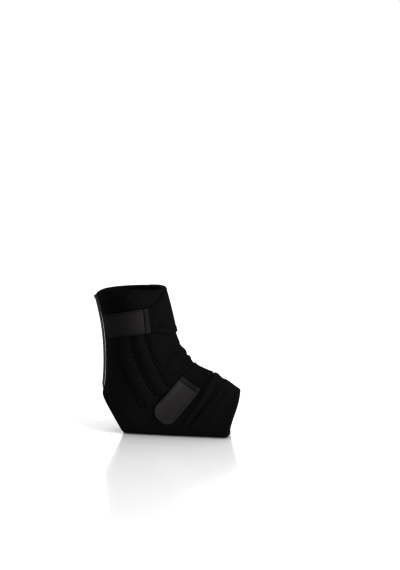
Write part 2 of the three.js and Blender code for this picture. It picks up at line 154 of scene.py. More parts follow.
def form(station, angle):
    """Points of the smooth boot: angle 0 is the shin or instep, 90 the outer side, 180 the calf or sole."""
    station, angle = np.broadcast_arrays(station, angle)
    front_x, front_z, back_x, back_z, crest, outer, inner, widest, square_front, square_back = (
        np.moveaxis(between(STATIONS, station), -1, 0))
    front_x = front_x * np.where(front_x > 0, TOE_REACH, HEEL_REACH)
    back_x = back_x * np.where(back_x > 0, TOE_REACH, HEEL_REACH)
    cos, sin = np.cos(np.radians(angle)), np.sin(np.radians(angle))
    power = np.where(cos > 0, square_front, square_back)
    radius = (np.abs(cos)**power + np.abs(sin)**power)**(-1 / power)
    forward = cos * radius
    along = widest + forward * np.where(forward > 0, 1 - widest, widest)
    side = -sin * radius * np.where(sin > 0, outer, inner) + crest * np.maximum(forward, 0)**2
    x = back_x + (front_x - back_x) * along
    z = HEIGHT * (back_z + (front_z - back_z) * along)
    return np.stack([x, WIDTH * side, np.maximum(z, 0)], -1)


def unit(vectors):
    return vectors / np.maximum(np.linalg.norm(vectors, axis=-1, keepdims=True), TINY)


def slopes(surface, station, angle, step=0.01):
    """Directions of a surface per station and per degree, and its outward normal."""
    down = (surface(station + step, angle) - surface(station - step, angle)) / (2 * step)
    round_it = (surface(station, angle + step) - surface(station, angle - step)) / (2 * step)
    return down, round_it, unit(np.cross(round_it, down))


toe_opening = form(LAST_STATION, np.arange(360))
print(f"{LAST_STATION + 1} stations, toe opening {np.ptp(toe_opening[:, 1]) / MM:.0f} mm wide")

# %% [markdown]
# ## Folds
# Foam cloth doesn't crease sharply. It buckles into soft rolls: one stands up in front of the instep strap,
# with a crease before it, and shallow ones lie across the bend of the ankle. They could be sculpted or
# simulated. A table is easier to steer: each fold runs through three places of the boot, and lifts the
# cloth around that line. A negative rise is a crease.

# %% Folds
# station and angle at three places, width in mm, rise in mm
FOLDS = [
    [13.55, -38, 13.62, 30, 13.45, 80, 12, 1.8],
    [14.40, -25, 14.32, 40, 13.80, 86, 10, -1.0],
    [4.42, -12, 4.95, 36, 6.40, 56, 11, -1.1],
    [5.40, -16, 5.60, 28, 7.20, 47, 11, 1.1],
    [6.60, -18, 6.55, 6, 7.10, 26, 10, 1.2],
]
FINE_FOLDS = [
    [13.32, 46, 13.42, 66, 13.30, 92, 6, -1.3],
    [13.74, 46, 13.84, 66, 13.55, 86, 5, 1.1],
    [14.12, 26, 14.02, 60, 13.72, 94, 6, -1.2],
    [14.60, 40, 14.42, 66, 14.05, 92, 8, 0.8],
    [6.10, -20, 6.10, 10, 6.60, 34, 5, -0.8],
    [7.40, 0, 7.45, 22, 8.45, 36, 8, -2.4],
    [6.85, 6, 6.95, 26, 7.90, 42, 7, 1.7],
    [4.00, 4, 4.30, 30, 5.40, 55, 9, 0.9],
    [3.45, 10, 3.75, 34, 4.75, 60, 7, -0.7],
    [5.95, 24, 6.30, 40, 7.45, 51, 7, -1.7],
    [4.42, -4, 4.90, 36, 6.40, 57, 8, -1.3],
    [5.30, 4, 5.50, 32, 7.10, 50, 7, 1.2],
    [8.30, 112, 9.10, 104, 9.80, 100, 9, 0.8],
    [8.00, 124, 8.90, 116, 9.90, 112, 8, -0.8],
    [5.20, 140, 6.40, 128, 7.40, 122, 10, 0.8],
    [11.30, 110, 11.90, 108, 12.60, 110, 7, -0.7],
    [4.60, -30, 5.30, -52, 6.80, -70, 10, -1.3],
    [5.40, -34, 6.10, -52, 7.60, -64, 9, 1.2],
    [13.50, -60, 13.30, -80, 12.90, -100, 9, 1.2],
    [14.30, -50, 14.10, -72, 13.60, -96, 9, -1.0],
    [8.40, -118, 9.20, -108, 10.00, -100, 10, 0.8],
    [15.20, 30, 15.10, 55, 14.90, 80, 9, 0.5],
]
FOLD_POINTS = 12


def fold_line(row):
    stations, angles = between(np.reshape(row[:6], (3, 2)), np.linspace(0, 2, FOLD_POINTS)).T
    return {"points": form(stations, angles), "reach": row[6] * MM / 2, "rise": row[7] * MM}


def distance_to_line(points, line):
    nearest = np.full(len(points), np.inf)
    for start, end in zip(line[:-1], line[1:]):
        run = end - start
        share = np.clip((points - start) @ run / (run @ run), 0, 1)
        nearest = np.minimum(nearest, np.linalg.norm(points - start - share[:, None] * run, axis=1))
    return nearest


folds = [fold_line(row) for row in FOLDS + FINE_FOLDS]


def fold_rise(points):
    """How far the folds push the cloth out at points of the smooth boot."""
    flat = points.reshape(-1, 3)
    rise = np.zeros(len(flat))
    for fold in folds:
        low, high = fold["points"].min(0) - fold["reach"], fold["points"].max(0) + fold["reach"]
        near = np.flatnonzero(((flat > low) & (flat < high)).all(1))
        if len(near):
            share = np.minimum(distance_to_line(flat[near], fold["points"]) / fold["reach"], 1)
            rise[near] += fold["rise"] * (1 - share**2)**2
    return rise.reshape(points.shape[:-1])


def skin(station, angle):
    """The boot's outer face with its folds."""
    points = form(station, angle)
    return points + slopes(form, station, angle)[2] * fold_rise(points)[..., None]


def above(station, angle, height=0.0):
    """Points a height above the outer face, and the normals there."""
    normals = slopes(skin, station, angle)[2]
    return skin(station, angle) + normals * height, normals


print(f"{len(FOLDS)} main folds and {len(FINE_FOLDS)} fine ones")

# %% [markdown]
# ## Meshes from grids
# Every piece here is a grid of points that follows the boot, so a few helpers turn grids into mesh objects.
# They also write a UV map in real metres, because a weave has a real size: the shader can then say how many
# ribs there are in a centimetre, on a flat tab and on a bent sleeve alike.

# %% Mesh helpers
SHARP_ANGLE = math.radians(50)


def running_length(points, axis=0):
    """Length walked so far along one axis of a line or grid of points."""
    steps = np.linalg.norm(np.diff(points, axis=axis), axis=-1)
    return np.insert(np.cumsum(steps, axis=axis), 0, 0, axis=axis)


def closed(grid):
    """A grid that goes round: its first column comes again at its end."""
    return np.concatenate([grid, grid[:, :1]], axis=1)


def numbered(shape):
    return np.arange(math.prod(shape)).reshape(shape)


def quads(grid):
    """Faces between the neighbours in a grid of point numbers."""
    return np.stack([grid[:-1, :-1], grid[1:, :-1], grid[1:, 1:], grid[:-1, 1:]], -1).reshape(-1, 4)


def make_object(name, points, faces, uvs=None, materials=()):
    mesh = bpy.data.meshes.new(name)
    mesh.from_pydata(np.asarray(points).tolist(), [], [list(map(int, face)) for face in faces])
    if uvs is not None:
        mesh.uv_layers.new(name="cloth").data.foreach_set("uv", uvs.astype(np.float32).ravel())
    mesh.validate()
    mesh.polygons.foreach_set("use_smooth", np.ones(len(mesh.polygons), bool))
    mesh.set_sharp_from_angle(angle=SHARP_ANGLE)
    piece = bpy.data.objects.new(name, mesh)
    bpy.context.scene.collection.objects.link(piece)
    for material in materials:
        mesh.materials.append(material)
    return piece


def slab(name, lower, upper, across, material):
    """A closed band between two grids. across is each point's place across it, in metres."""
    under = numbered(lower.shape[:2])
    along = running_length(upper[:, under.shape[1] // 2])
    flat = np.stack(np.broadcast_arrays(along[:, None], across), -1).reshape(-1, 2)
    rim = np.concatenate([under[:-1, 0], under[-1, :-1], under[:0:-1, -1], under[0, ::-1]])
    sides = np.stack([rim, rim + under.size], 1)
    faces = np.concatenate([quads(under + under.size), quads(under.T), quads(sides)])
    points = np.concatenate([lower.reshape(-1, 3), upper.reshape(-1, 3)])
    return make_object(name, points, faces, np.tile(flat, (2, 1))[faces], [material])


def on_grid(values, row, column):
    """A grid's values between its rows and columns."""
    i = np.clip(np.floor(row).astype(int), 0, values.shape[0] - 2)
    j = np.clip(np.floor(column).astype(int), 0, values.shape[1] - 2)
    f, g = (row - i)[..., None], (column - j)[..., None]
    near = values[i, j] * (1 - g) + values[i, j + 1] * g
    far = values[i + 1, j] * (1 - g) + values[i + 1, j + 1] * g
    return near * (1 - f) + far * f


print("helpers ready: objects, slabs and places on grids")

# %% [markdown]
# ## Threads
# A seam is what tells sewn cloth from moulded plastic. Stitches could be drawn with a bump map, but they
# catch the light as small round threads, so each is a thin tube that rises out of the cloth and dives back
# in. A lock stitch is a dash. A zigzag stitch goes from side to side between two rows of needle holes.

# %% Threads
THREAD_SIDES = 6
STITCH_SHARES = np.array([0.0, 0.12, 0.35, 0.65, 0.88, 1.0])
STITCH_RISE = np.array([-1.0, 0.35, 1.0, 1.0, 0.35, -1.0])
STITCH_LENGTH, STITCH_GAP, STITCH_THREAD = 2.4 * MM, 0.7 * MM, 0.26 * MM
FACES_PER_STITCH = (len(STITCH_SHARES) - 1) * THREAD_SIDES + 2
NO_THREADS_WAY = np.array([0.31, 0.53, 0.79])


class Path:
    """A line of points on a piece of cloth with the cloth's normals, walked by its length."""

    def __init__(self, points, normals):
        self.points, self.normals = points, normals
        self.lengths = running_length(points)
        self.total = self.lengths[-1]

    def read(self, values, length):
        return np.stack([np.interp(length, self.lengths, column) for column in values.T], -1)

    def up_at(self, length):
        return unit(self.read(self.normals, length))


def tubes(name, lines, radius, material):
    """One object of many thin tubes, each along its own short line of points."""
    turns = np.linspace(0, 2 * math.pi, THREAD_SIDES, endpoint=False)[:, None]
    points, faces, first = [], [], 0
    for line in lines:
        run = unit(np.gradient(line, axis=0))
        side = unit(np.cross(run, NO_THREADS_WAY))
        ring = side[:, None] * np.cos(turns) + np.cross(side, run)[:, None] * np.sin(turns)
        points.append((line[:, None] + ring * radius).reshape(-1, 3))
        index = first + numbered((len(line), THREAD_SIDES))
        faces.extend([*quads(closed(index).T), index[0][::-1], index[-1]])
        first += index.size
    return make_object(name, np.concatenate(points), faces, materials=[material])


def lock_stitches(path):
    """Dashes along a path."""
    starts = np.arange(STITCH_GAP, path.total - STITCH_LENGTH, STITCH_LENGTH + STITCH_GAP)
    lines = []
    for start in starts:
        places = start + STITCH_SHARES * STITCH_LENGTH
        lift = (STITCH_RISE * STITCH_THREAD)[:, None]
        lines.append(path.read(path.points, places) + path.up_at(places) * lift)
    return lines


def zigzag_stitches(left, right, pitch, radius):
    """Threads from side to side between two paths, and the needle holes that they dive into."""
    total = min(left.total, right.total)
    shares = np.arange(0, total, pitch / 2) / total
    ends = [path.read(path.points, shares * path.total) for path in (left, right)]
    holes = np.where((np.arange(len(shares)) % 2 == 0)[:, None], *ends)
    lift = (STITCH_RISE * radius)[:, None]
    lines = [start + (end - start) * STITCH_SHARES[:, None] + up * lift
             for start, end, up in zip(holes[:-1], holes[1:], left.up_at(shares * left.total))]
    return lines, holes


print("two stitches: lock and zigzag")

# %% [markdown]
# ## Places on the boot
# A band has a real width, but the boot's stations and angles stretch and shrink from place to place. So a
# band's middle line is a short table of places, measured in metres, and its width is found by walking
# sideways over the surface in small steps. A real tape does the same: it keeps its own width wherever it is
# laid.

# %% Walking over the boot
WALK_STEPS = 24
ROUTE_STEP = 0.02
LOOK_AHEAD = 0.5 * MM


def dot(first, second):
    return np.einsum("...k,...k->...", first, second)


def walk(station, angle, direction, distance):
    """Stations and angles reached by walking distances over the boot in fixed directions."""
    for _ in range(WALK_STEPS):
        down, round_it, normal = slopes(form, station, angle)
        flat = direction - normal * dot(direction, normal)[..., None]
        step = unit(flat) * (distance / WALK_STEPS)[..., None]
        dd, dr, rr = dot(down, down), dot(down, round_it), dot(round_it, round_it)
        sd, sr = dot(step, down), dot(step, round_it)
        area = dd * rr - dr * dr
        station = station + (sd * rr - sr * dr) / area
        angle = angle + (sr * dd - sd * dr) / area
    return station, angle


class Route:
    """Middle line of a band: rows of station, angle and flare, read by the length along it."""

    def __init__(self, rows):
        self.rows = np.array(rows, float)
        self.places = np.arange(-0.5, len(rows) - 0.5, ROUTE_STEP)
        self.lengths = running_length(form(*between(self.rows[:, :2], self.places).T))
        self.lengths -= np.interp(0, self.places, self.lengths)

    def length_at(self, row):
        return float(np.interp(row, self.places, self.lengths))

    def at(self, length):
        return np.moveaxis(between(self.rows, np.interp(length, self.lengths, self.places)), -1, 0)

    def beside(self, lengths, offsets):
        """Stations and angles of a grid: rows at lengths along the line, columns at offsets from it."""
        station, angle = self.at(lengths)[:2]
        ahead = form(*self.at(lengths + LOOK_AHEAD)[:2]) - form(*self.at(lengths - LOOK_AHEAD)[:2])
        side = np.cross(slopes(form, station, angle)[2], ahead)
        direction = side[:, None] * np.sign(offsets)[..., None]
        start = [np.broadcast_to(value[:, None], offsets.shape) for value in (station, angle)]
        return walk(*start, direction, np.abs(offsets))


print("a band is laid by walking", WALK_STEPS, "steps to each side")

# %% [markdown]
# ## What the cloth is made of
# Each finish is a small sum of patterns: knit loops, ribs, dust, wear. Blender wants such a sum as a net of
# nodes, which is hard to read, so a small class lets it be written as arithmetic. A Pattern is a socket
# that adds and multiplies as a number does, and each sign adds the node that does it.

# %% Patterns as arithmetic
def feed(node, sockets):
    """Gives a node its values and patterns, by the socket's name or as in0, in1."""
    for name, value in sockets.items():
        place = int(name[2:]) if name[:2] == "in" and name[2:].isdigit() else name.replace("_", " ")
        if isinstance(value, Pattern):
            value.tree.links.new(value.socket, node.inputs[place])
        else:
            node.inputs[place].default_value = value


class Pattern:
    """A material's socket that works in sums as a number does."""

    def __init__(self, tree, socket):
        self.tree, self.socket = tree, socket

    def node(self, kind, output=0, settings=None, **sockets):
        """Any node, with its settings and what goes into its sockets."""
        node = self.tree.nodes.new(kind)
        for name, value in (settings or {}).items():
            setattr(node, name, value)
        feed(node, sockets)
        return Pattern(self.tree, node.outputs[output])

    def math(self, operation, first, second=0.0):
        return self.node("ShaderNodeMath", settings={"operation": operation}, in0=first, in1=second)

    def __add__(self, other):
        return self.math("ADD", self, other)

    def __sub__(self, other):
        return self.math("SUBTRACT", self, other)

    def __rsub__(self, other):
        return self.math("SUBTRACT", other, self)

    def __mul__(self, other):
        return self.math("MULTIPLY", self, other)

    __radd__, __rmul__ = __add__, __mul__

    def step_up(self, low, high):
        """0 below low, 1 above high, and smooth between."""
        return self.node("ShaderNodeMapRange", settings={"interpolation_type": "SMOOTHSTEP"},
                         Value=self, From_Min=low, From_Max=high)

    def step_at(self, edge, blur):
        return self.step_up(edge - blur, edge + blur)

    def mix(self, first, second):
        """A colour between two, by this pattern."""
        return self.node("ShaderNodeMix", 2, {"data_type": "RGBA"}, in0=self, in6=first, in7=second)


print("patterns add, subtract and multiply")

# %% [markdown]
# ## Finishes
# All the cloth is black, yet no two pieces look alike: the sleeve is dull knit with a little lint, the
# elastic is ribbed along its length, the tabs are a shinier grey weave, and the seam binding is light grey.
# In so dark a cloth colour counts for little, and what tells the pieces apart is how the weave catches
# light. So each gets its own bump and roughness, and its colour is one shade, made darker or paler by a
# pattern.

# %% Finishes
def scaled(shade, factor):
    """A shade times a factor, with the alpha that a shader wants."""
    return (*(factor * channel for channel in shade), 1)


def waves(coordinate, pitch):
    """Ribs at a pitch, from 0 to 1."""
    return coordinate.math("SINE", coordinate * (2 * math.pi / pitch)) * 0.5 + 0.5


class Cloth:
    """A cloth's material: its shade, its shader and the patterns that both are worked out from."""

    def __init__(self, name, shade, roughness, specular):
        self.material, self.shade = bpy.data.materials.new(name), shade
        self.material.use_nodes = True
        tree = self.material.node_tree
        self.shader = next(node for node in tree.nodes if node.type == "BSDF_PRINCIPLED")
        self.start = Pattern(tree, None)
        self.wear(Base_Color=scaled(shade, 1), Roughness=roughness, Specular_IOR_Level=specular)

    def wear(self, **sockets):
        feed(self.shader, sockets)

    def coordinates(self):
        """Metres along and across the cloth, from its UV map."""
        flat = self.start.node("ShaderNodeUVMap", settings={"uv_map": "cloth"})
        return [flat.node("ShaderNodeSeparateXYZ", output, in0=flat) for output in (0, 1)]

    def texture(self, kind, **sockets):
        place = self.start.node("ShaderNodeTexCoord", 3)
        return self.start.node(kind, Vector=place, **sockets)

    def lint(self, per_metre, low, high):
        """Soft blotches in the object's own space, from 0 to 1."""
        noise = self.texture("ShaderNodeTexNoise", Scale=per_metre, Detail=3.0, Roughness=0.6)
        return noise.step_up(low, high)

    def tones(self, pattern, dark, pale):
        return pattern.mix(scaled(self.shade, dark), scaled(self.shade, pale))

    def over(self, color, pattern, factor):
        """A colour, with the shade times a factor over it where a pattern is 1."""
        return pattern.mix(color, scaled(self.shade, factor))

    def raise_weave(self, height, depth):
        """Lets a pattern stand out of the cloth, depth metres high."""
        self.wear(Normal=height.node("ShaderNodeBump", Strength=1.0, Distance=depth, Height=height))


PILE_TOP, PILE_BOTTOM, PILE_FRONT, PILE_BACK = 6 * MM, 30 * MM, 63 * MM, 108 * MM
SEAM_BAND_LENGTH, SEAM_BAND_RISE = 5.6 * MM, 0.6 * MM


def shadowed_pile_patch(cloth, along, across):
    """1 on a ragged-edged patch above the leg tab: the knit is napped into loops for the hooks to grip, and
    painted darker as the shadow there.
    """
    ragged = (cloth.lint(170.0, 0.3, 0.7) - 0.5) * (13 * MM)
    along, across = along + ragged, across + ragged
    rows = along.step_at(PILE_TOP, 1 * MM) * (1 - along.step_at(PILE_BOTTOM, 1 * MM))
    return rows * across.step_at(PILE_FRONT, 2 * MM) * (1 - across.step_at(PILE_BACK, 2 * MM))


def knit_foam(name, shade, loop=0.9 * MM, depth=0.05 * MM, brushed_and_shadowed=False, shaded_pits=False):
    """Fine jersey over foam: columns of small loops, slightly fuzzy, paler in worn blotches, darker where
    painted shade is asked for.
    """
    cloth = Cloth(name, shade, 0.85, 0.1)
    along, across = cloth.coordinates()
    rows = waves(along, loop * 1.2)
    blotch, mottle = cloth.lint(60.0, 0.35, 0.68), cloth.lint(420.0, 0.36, 0.64)
    fuzz = cloth.lint(900.0, 0.55, 0.75)
    color = cloth.tones(blotch * 0.35 + mottle * 0.45 + fuzz * 0.2, 0.62, 1.5)
    height = waves(across + rows * 0.35 * loop, loop) * rows + fuzz * 0.4
    if brushed_and_shadowed:
        pile_and_shadow = shadowed_pile_patch(cloth, along, across)
        # Painted shadow: the patch's colour is darkened. Its bump is the loop nap.
        color = cloth.over(color, pile_and_shadow, 0.25)
        height = height + pile_and_shadow * cloth.lint(1100.0, 0.35, 0.65) * 3
    if shaded_pits:
        # Painted shade: the knit's colour is darkened in each needle hole, where shade falls.
        pit_shade = cloth.start.node("ShaderNodeAttribute", 2, {"attribute_name": "needle_hole_shade"})
        color = cloth.over(color, pit_shade, 0.06)
    cloth.wear(Base_Color=color, Roughness=0.78 + blotch * 0.12)
    cloth.raise_weave(height, depth)
    return cloth.material


def ribbed_elastic(name, shade, rib=1.15 * MM, thread=0.55 * MM, depth=0.16 * MM):
    """Woven elastic: ribs along the band, crossed by fine threads."""
    cloth = Cloth(name, shade, 0.8, 0.06)
    along, across = cloth.coordinates()
    ribs = waves(across, rib)
    threads = waves(along + ribs * 0.3 * MM, thread)
    color = cloth.tones(ribs * 0.6 + cloth.lint(80.0, 0.35, 0.7) * 0.4, 0.7, 1.4)
    cloth.wear(Base_Color=color, Roughness=0.84 - ribs * 0.1)
    cloth.raise_weave(ribs + threads * 0.35, depth)
    return cloth.material


def hook_tape(name, shade, seam_end_light_share, seam_shade, twill=1.3 * MM, grain=0.5 * MM, depth=0.07 * MM):
    """Back of hook tape: slanted twill, dark and doubled at its seam, painted shade in the groove after its
    band.
    seam_end_light_share is how much painted light pales its upper, seam end, seam_shade how dark the
    doubled band is."""
    cloth = Cloth(name, shade, 0.7, 0.14)
    along, across = cloth.coordinates()
    slant = waves(along * 0.7 + across, twill)
    blotch = cloth.lint(55.0, 0.3, 0.7) * 0.6 + cloth.lint(420.0, 0.3, 0.7) * 0.4
    # Painted light: the first centimetres, the tab's upper end turned to the light, are made paler.
    seam_end_light = (1 - along.step_up(4 * MM, 42 * MM)) * seam_end_light_share
    doubled = (1 - along.step_at(SEAM_BAND_LENGTH, 0.5 * MM)) * seam_shade
    # Painted shade: the colour is darkened along the groove after the seam's band, as its shadow.
    groove = along.step_up(SEAM_BAND_LENGTH - 0.9 * MM, SEAM_BAND_LENGTH)
    groove = groove * (1 - along.step_up(SEAM_BAND_LENGTH + 0.3 * MM, SEAM_BAND_LENGTH + 1.1 * MM))
    color = cloth.tones(blotch * 0.6 + slant * 0.4, 0.8, 1.3)
    for pattern, factor in ((seam_end_light, 2), (doubled, 0.4), (groove, 0.12)):
        color = cloth.over(color, pattern, factor)
    cloth.wear(Base_Color=color, Roughness=0.66 + blotch * 0.12)
    cloth.raise_weave(slant * 0.6 + waves(across, grain) * waves(along, grain) * 0.5, depth)
    return cloth.material


def binding(name, shade, thread=0.8 * MM, depth=0.12 * MM):
    """Grey seam binding: a plain weave of thick threads, a little soiled."""
    cloth = Cloth(name, shade, 0.8, 0.2)
    along, across = cloth.coordinates()
    weave = waves(along, thread) * waves(across, thread)
    soiled = cloth.lint(140.0, 0.4, 0.7) * 0.6
    cloth.wear(Base_Color=cloth.tones(soiled, 1, 0.45), Roughness=0.75 + weave * 0.15)
    cloth.raise_weave(weave, depth)
    return cloth.material


def spun_thread(name, shade):
    """Twisted thread, with a slight gloss."""
    cloth = Cloth(name, shade, 0.5, 0.12)
    fibre = cloth.lint(2500.0, 0.4, 0.7)
    cloth.wear(Base_Color=cloth.tones(fibre, 1, 1.6), Roughness=0.4 + fibre * 0.2)
    return cloth.material


def cut_foam(name, shade, pores_per_metre=1400.0, depth=0.12 * MM):
    """Cut edge of rubber foam: full of tiny closed bubbles."""
    cloth = Cloth(name, shade, 0.8, 0.1)
    bubbles = cloth.texture("ShaderNodeTexVoronoi", Scale=pores_per_metre)
    cloth.wear(Roughness=0.6 + bubbles * 0.2)
    cloth.raise_weave(bubbles, depth)
    return cloth.material


SLEEVE_KNIT = knit_foam("sleeve_knit", (0.0064, 0.0054, 0.0059), brushed_and_shadowed=True)
SLEEVE_LINING = knit_foam("sleeve_lining", (0.0045, 0.0042, 0.0043), 0.7 * MM)
FOAM_EDGE = cut_foam("foam_edge", (0.006, 0.0055, 0.0055))
PANEL_KNIT = knit_foam("panel_knit", (0.0070, 0.0059, 0.0064), 0.8 * MM, shaded_pits=True)
ELASTIC = ribbed_elastic("strap_elastic", (0.0072, 0.0061, 0.0067))
# The third number is the painted light at each tab's seam end, the fourth how dark its doubled band is.
LEG_TAB_WEAVE = hook_tape("leg_tab_weave", (0.0122, 0.0108, 0.0116), 0.75, 0.0)
FOOT_TAB_WEAVE = hook_tape("foot_tab_weave", (0.0250, 0.0229, 0.0240), 0.12, 0.45)
SEAM_BINDING = binding("seam_binding", (0.105, 0.103, 0.101))
BLACK_THREAD = spun_thread("black_thread", (0.0016, 0.0015, 0.0015))
GREY_THREAD = spun_thread("grey_thread", (0.16, 0.158, 0.155))
print(len(bpy.data.materials), "finishes")

# %% [markdown]
# ## The sleeve
# The real sleeve is cut from two flat shapes and sewn up the back, with openings for the leg, the toes and
# the heel. It could be draped over a foot by simulation, but then its size would drift from the frame. Here
# the outer face is one fine grid of the surface, with hems pressed into it. The heel opening is a slanted
# cut that goes further at the sides, where the cloth is pulled back: the sides are shifted, cut flat, and
# put back. A Solidify modifier gives the cloth its 3 mm, with its own finish inside and on the rim.

# %% Sleeve
SLEEVE_ROWS, SLEEVE_SIDES = 210, 176
HEEL_CUT_BACK = 18.5 * MM
HEEL_CUT_SLOPE = math.radians(60.4)
HEEL_SCOOP = 5 * MM
SCOOP_REACH = 0.4 * WIDTH
CUT_TOLERANCE = 1e-6
LEG_HEM, TOE_HEM, HEEL_HEM = 4.6 * MM, 7 * MM, 5.5 * MM
HEM_STITCH_INSET = 0.7 * MM
HEM_RISE, HEM_STEP = 0.35 * MM, 1.2 * MM
GROOVE_DEPTH, GROOVE_REACH = 0.4 * MM, 0.6 * MM
EDGE_ROUNDING, EDGE_DROP = 1.2 * MM, 0.55 * MM

heel_normal = np.array([-math.sin(HEEL_CUT_SLOPE), 0, -math.cos(HEEL_CUT_SLOPE)])


def heel_scoop(points):
    """How much further the heel opening is cut at the sides of the heel than in its middle."""
    return HEEL_SCOOP * np.minimum(np.abs(points[..., 1]) / SCOOP_REACH, 1)**2


def before_heel_cut(points):
    """How far points lie in front of the heel opening's edge."""
    return -((points - np.array([-HEEL_CUT_BACK, 0, 0])) @ heel_normal) - heel_scoop(points)


def smooth(value, low, high):
    share = np.clip((value - low) / (high - low), 0, 1)
    return share * share * (3 - 2 * share)


def bell(value, middle, reach):
    """1 at a middle value and falling off around it."""
    return np.exp(-((value - middle) / reach)**2)


def hem_profile(distance, width):
    """Cloth turned over along an edge: a low step, a groove at its stitches, and a rounded edge."""
    step = 1 - smooth(distance, width, width + HEM_STEP)
    groove = bell(distance, width - HEM_STITCH_INSET, GROOVE_REACH)
    edge = np.clip(1 - distance / EDGE_ROUNDING, 0, 1)**2
    return HEM_RISE * step - GROOVE_DEPTH * groove - EDGE_DROP * edge


def bump_at(angle, middle, reach):
    return bell((angle - middle + 180) % 360, 180, reach)


def leg_edge(angle):
    """Station of the leg opening's edge: higher on the outer side and lower at the back seam."""
    return -0.17 * bump_at(angle, 95, 42) + 0.13 * bump_at(angle, 176, 30)


def toe_edge(angle):
    """Station of the toe opening's edge: forward above the little toe, back on the inner side."""
    forward = 0.10 + 0.20 * bump_at(angle, 40, 36)
    return LAST_STATION + forward - 0.06 * bump_at(angle, 140, 26) - 0.42 * bump_at(angle, -100, 62)


def shift_sides(cut, sign):
    """Shifts the sides of the heel by the scoop, back or forward."""
    for vertex in cut.verts:
        vertex.co += Vector(heel_normal) * (sign * heel_scoop(np.array(vertex.co)))


def cut_heel(mesh):
    cut = bmesh.new()
    cut.from_mesh(mesh)
    shift_sides(cut, 1)
    bmesh.ops.bisect_plane(cut, geom=cut.verts[:] + cut.edges[:] + cut.faces[:], dist=CUT_TOLERANCE,
                           plane_co=(-HEEL_CUT_BACK, 0, 0), plane_no=heel_normal.tolist(), clear_outer=True)
    shift_sides(cut, -1)
    cut.to_mesh(mesh)
    cut.free()


def make_sleeve():
    angles = np.arange(SLEEVE_SIDES) * 360 / SLEEVE_SIDES
    shares = np.linspace(0, 1, SLEEVE_ROWS + 1)[:, None]
    stations = leg_edge(angles) + shares * (toe_edge(angles) - leg_edge(angles))
    points, normals = above(stations, angles)
    down = running_length(points)
    heel = np.maximum(before_heel_cut(points), 0)
    edges = ((down, LEG_HEM), (down[-1] - down, TOE_HEM), (heel, HEEL_HEM))
    rise = sum(hem_profile(*edge) for edge in edges)
    points = points + normals * rise[..., None]
    points[..., 2] = np.maximum(points[..., 2], 0)
    flat = np.stack([closed(down), running_length(closed(points), axis=1)], -1)
    faces = quads(closed(numbered(down.shape)))[:, ::-1]
    face_uvs = flat.reshape(-1, 2)[quads(numbered(flat.shape[:2]))[:, ::-1]]
    sleeve = make_object("foam_sleeve", points.reshape(-1, 3), faces, face_uvs,
                         (SLEEVE_KNIT, SLEEVE_LINING, FOAM_EDGE))
    cut_heel(sleeve.data)
    wall = sleeve.modifiers.new("wall", "SOLIDIFY")
    wall.thickness = WALL
    wall.offset = -1
    wall.material_offset = 1
    wall.material_offset_rim = 2
    return sleeve


sleeve = make_sleeve()
print(f"sleeve: {len(sleeve.data.polygons)} faces on its outer side")

# %% [markdown]
# ## The stay panel
# A patch of the same cloth is sewn to the outer side by three rows of wide zigzag stitches. Between the
# rows two padded channels hold the stays, which keep the ankle from tipping. The rows are a table of
# angles, so the channels lean forward as the real ones do. The cloth is pressed down under the stitches and
# sunk into a pit at every needle hole, so those columns of the mesh are the finest. Each pit is also
# darkened with painted shade.

# %% Stay panel
# station, and the angles of the back, middle and front row
PANEL_ROWS = np.array([
    [1, 124, 96, 73],
    [2, 124.5, 96, 72.5],
    [3, 125, 95.8, 72],
    [4, 124.2, 93.4, 69.2],
    [5, 118, 89.6, 67.4],
    [6, 108.5, 84, 63.6],
    [7, 96.5, 77.8, 60.2],
    [8, 87, 72.4, 56.4],
    [9, 82.6, 67.6, 52],
    [10, 81.4, 65.6, 48],
])
PANEL_THICKNESS, CHANNEL_THICKNESS = 1 * MM, 2.6 * MM
CHANNEL_RISE = CHANNEL_THICKNESS - PANEL_THICKNESS
PANEL_SKIN, THREAD_LEVEL = 0.85 * PANEL_THICKNESS, 0.78 * PANEL_THICKNESS
PANEL_HEM, HEM_ROUNDING, HEM_DROP = 3.2 * MM, 0.25 * MM, 0.7 * MM
PRESSED, PRESSED_RAMP = 0.15 * MM, 1 * MM
END_HEIGHT, END_RAMP = 0.25 * MM, 0.6 * MM
PANEL_TOP_STATION, PANEL_END_STATION = 1.35, 9.9
ZIGZAG_WIDTH, ZIGZAG_PITCH, ZIGZAG_THREAD = 4.5 * MM, 5.2 * MM, 0.4 * MM
STITCH_REACH = ZIGZAG_WIDTH / 2 + 0.6 * MM
NEEDLE_HOLE, NEEDLE_DEPTH, NEEDLE_SHADE = 1.3 * MM, 0.7 * MM, 1.3
RAMP_START, RAMP_LENGTH = 1.6 * MM, 11 * MM
PANEL_MESH_ROWS, THREADED = 210, slice(3, -3)
STITCH_COLUMNS, BACK_CHANNEL_COLUMNS, FRONT_CHANNEL_COLUMNS = 14, 15, 13
BRIDGE_SHARE = 0.45


def panel_rows(station):
    return np.moveaxis(between(PANEL_ROWS[:, 1:], station - PANEL_ROWS[0, 0]), -1, 0)


def metres_per_degree(station, angle):
    return np.linalg.norm(slopes(form, station, angle)[1], axis=-1)


